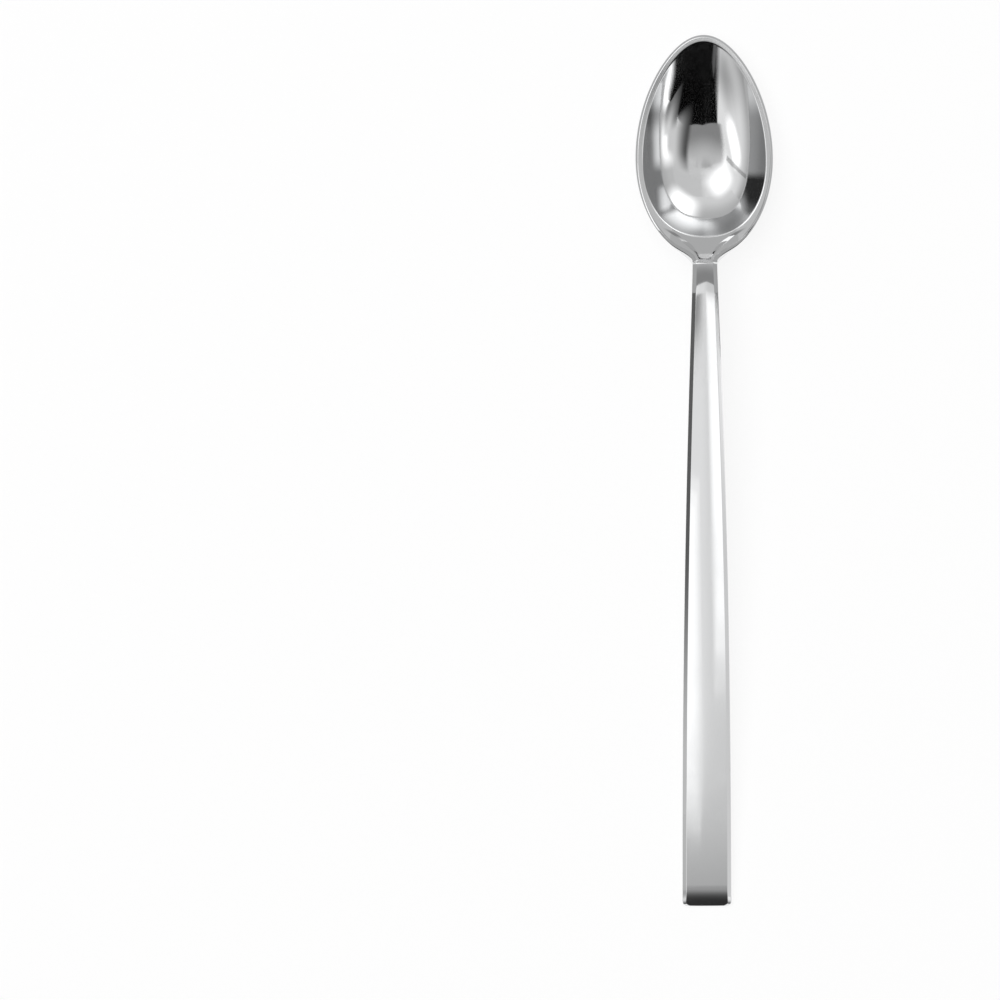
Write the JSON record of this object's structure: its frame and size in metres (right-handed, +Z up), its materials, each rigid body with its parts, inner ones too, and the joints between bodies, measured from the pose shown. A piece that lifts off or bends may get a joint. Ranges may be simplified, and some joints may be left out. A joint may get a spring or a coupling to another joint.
{
  "type": "iced tea spoon",
  "caption": "Long polished steel spoon with a small deep egg-shaped bowl and a slim tapered handle, for stirring tall glasses.",
  "frame": {"origin": "middle of the spoon's length and width, on the table it lies on", "axes": "+Y from the handle's end to the tip of the bowl, +Z up, with the bowl's hollow facing up, X across"},
  "size_m": [0.03, 0.19, 0.0155],
  "materials": {
    "polished_steel": "polished",
    "braze_filler": "satin"
  },
  "bodies": {
    "root": {"bowl": "polished_steel", "handle": "polished_steel", "braze_joint": "braze_filler"}
  },
  "joints": []
}
